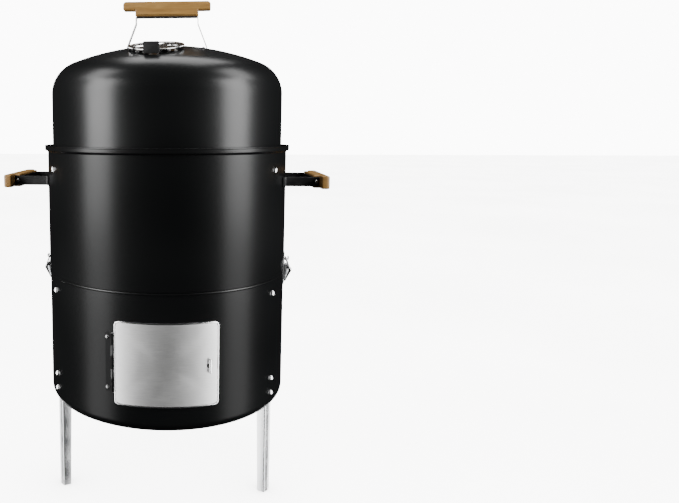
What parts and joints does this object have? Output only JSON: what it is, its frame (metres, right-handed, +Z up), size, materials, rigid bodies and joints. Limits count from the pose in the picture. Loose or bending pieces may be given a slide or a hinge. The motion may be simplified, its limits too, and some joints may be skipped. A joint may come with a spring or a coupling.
{
  "type": "vertical water smoker",
  "caption": "Upright charcoal water smoker: a legged base with a fire door, a barrel with two side handles, a domed lid with a damper, and lift-out grates and a water bowl.",
  "frame": {"origin": "on the floor, under the axis of the round body", "axes": "+Z up, the fire door faces -Y, +X to the right of someone facing the door"},
  "size_m": [0.568, 0.442, 0.859],
  "materials": {
    "body_paint": "satin black high-temperature paint",
    "door_steel": "satin stainless sheet with a bright edge",
    "leg_steel": "bright plated pressed strip",
    "bracket_zinc": "zinc plated strip",
    "bolt_chrome": "bright plated round heads",
    "latch_chrome": "bright nickel plate",
    "lever_black": "gloss black pressing",
    "handle_black": "satin black strip",
    "strap_steel": "brushed stainless strip",
    "grip_wood": "oiled honey-coloured bamboo, grain along the grip",
    "tab_black": "matt black moulding",
    "grate_chrome": "plated wire",
    "bowl_enamel": "gloss black enamel"
  },
  "bodies": {
    "base": {"base_shell": "body_paint", "leg_left": "leg_steel", "leg_bolt_lower_left": "bolt_chrome", "leg_bolt_upper_left": "bolt_chrome", "fire_bracket_left": "bracket_zinc", "bowl_bracket_left": "bracket_zinc", "bowl_bracket_bolt_left": "bolt_chrome", "leg_right": "leg_steel", "leg_bolt_lower_right": "bolt_chrome", "leg_bolt_upper_right": "bolt_chrome", "fire_bracket_right": "bracket_zinc", "bowl_bracket_right": "bracket_zinc", "bowl_bracket_bolt_right": "bolt_chrome", "leg_rear": "leg_steel", "leg_bolt_lower_rear": "bolt_chrome", "leg_bolt_upper_rear": "bolt_chrome", "fire_bracket_rear": "bracket_zinc", "bowl_bracket_rear": "bracket_zinc", "bowl_bracket_bolt_rear": "bolt_chrome", "door_hinge_leaf": "body_paint", "door_hinge_pin": "bracket_zinc", "door_hinge_screw_lower": "bolt_chrome", "door_hinge_screw_upper": "bolt_chrome", "intake_rivet": "bracket_zinc", "latch_plate_left": "bracket_zinc", "latch_plate_right": "bracket_zinc"},
    "door": {"door_panel": "door_steel"},
    "door_latch": {"door_thumb_turn": "latch_chrome"},
    "intake_damper": {"intake_damper": "bracket_zinc"},
    "charcoal_grate": {"charcoal_grate": "grate_chrome"},
    "charcoal_ring": {"charcoal_ring": "bowl_enamel"},
    "water_bowl": {"water_bowl": "bowl_enamel"},
    "lower_grate": {"lower_grate": "grate_chrome"},
    "barrel": {"barrel_shell": "body_paint", "grate_bracket_left": "bracket_zinc", "grate_bracket_bolt_left": "bolt_chrome", "grate_bracket_right": "bracket_zinc", "grate_bracket_bolt_right": "bolt_chrome", "grate_bracket_rear": "bracket_zinc", "grate_bracket_bolt_rear": "bolt_chrome", "handle_bracket_left": "handle_black", "handle_grip_left": "grip_wood", "latch_hook_left": "latch_chrome", "handle_bracket_right": "handle_black", "handle_grip_right": "grip_wood", "latch_hook_right": "latch_chrome"},
    "upper_grate": {"upper_grate": "grate_chrome"},
    "lid": {"lid_shell": "body_paint", "lid_handle_strap": "strap_steel", "lid_grip": "grip_wood", "damper_rivet": "latch_chrome"},
    "lid_damper": {"damper_disc": "latch_chrome", "damper_tab": "tab_black"},
    "latch_lever_left": {"latch_lever_left": "lever_black"},
    "latch_lever_right": {"latch_lever_right": "lever_black"},
    "latch_bail_left": {"latch_bail_left": "latch_chrome"},
    "latch_bail_right": {"latch_bail_right": "latch_chrome"}
  },
  "joints": [
    {"name": "barrel_lift", "type": "slide", "parent": "base", "child": "barrel", "axis": [0, 0, 1], "range_m": [0, 0.14]},
    {"name": "lid_lift", "type": "slide", "parent": "barrel", "child": "lid", "axis": [0, 0, 1], "range_m": [0, 0.2]},
    {"name": "upper_grate_lift", "type": "slide", "parent": "barrel", "child": "upper_grate", "axis": [0, 0, 1], "range_m": [0, 0.1]},
    {"name": "water_bowl_lift", "type": "slide", "parent": "base", "child": "water_bowl", "axis": [0, 0, 1], "range_m": [0, 0.12]},
    {"name": "lower_grate_lift", "type": "slide", "parent": "water_bowl", "child": "lower_grate", "axis": [0, 0, 1], "range_m": [0, 0.12]},
    {"name": "charcoal_grate_lift", "type": "slide", "parent": "base", "child": "charcoal_grate", "axis": [0, 0, 1], "range_m": [0, 0.02]},
    {"name": "charcoal_ring_lift", "type": "slide", "parent": "charcoal_grate", "child": "charcoal_ring", "axis": [0, 0, 1], "range_m": [0, 0.02]},
    {"name": "lid_damper_turn", "type": "hinge", "parent": "lid", "child": "lid_damper", "pos_m": [-0.01028, -0.11755, 0.76461], "axis": [-0.0224, -0.2555, 0.9665], "range_deg": [0, 45]},
    {"name": "intake_damper_turn", "type": "hinge", "parent": "base", "child": "intake_damper", "pos_m": [0, 0, 0.149], "axis": [0, 0, 1], "range_deg": [0, 45]},
    {"name": "door_swing", "type": "hinge", "parent": "base", "child": "door", "pos_m": [-0.07483, -0.20465, 0.26325], "axis": [0, 0, -1], "range_deg": [0, 120]},
    {"name": "door_latch_turn", "type": "hinge", "parent": "door", "child": "door_latch", "pos_m": [0.08012, -0.20134, 0.26005], "axis": [0.3697, -0.9291, 0], "range_deg": [0, 90]},
    {"name": "latch_lever_left_turn", "type": "hinge", "parent": "base", "child": "latch_lever_left", "pos_m": [-0.2225, 0, 0.378], "axis": [0, 1, 0], "range_deg": [0, 95]},
    {"name": "latch_bail_left_turn", "type": "hinge", "parent": "latch_lever_left", "child": "latch_bail_left", "pos_m": [-0.2285, 0, 0.3745], "axis": [0, 1, 0], "range_deg": [-106, 1]},
    {"name": "latch_lever_right_turn", "type": "hinge", "parent": "base", "child": "latch_lever_right", "pos_m": [0.2225, 0, 0.378], "axis": [0, -1, 0], "range_deg": [0, 95]},
    {"name": "latch_bail_right_turn", "type": "hinge", "parent": "latch_lever_right", "child": "latch_bail_right", "pos_m": [0.2285, 0, 0.3745], "axis": [0, -1, 0], "range_deg": [-106, 1]}
  ],
  "couplings": [
    {"joint": "latch_bail_left_turn", "follows": "latch_lever_left_turn", "ratio": -1.1},
    {"joint": "latch_bail_right_turn", "follows": "latch_lever_right_turn", "ratio": -1.1}
  ]
}
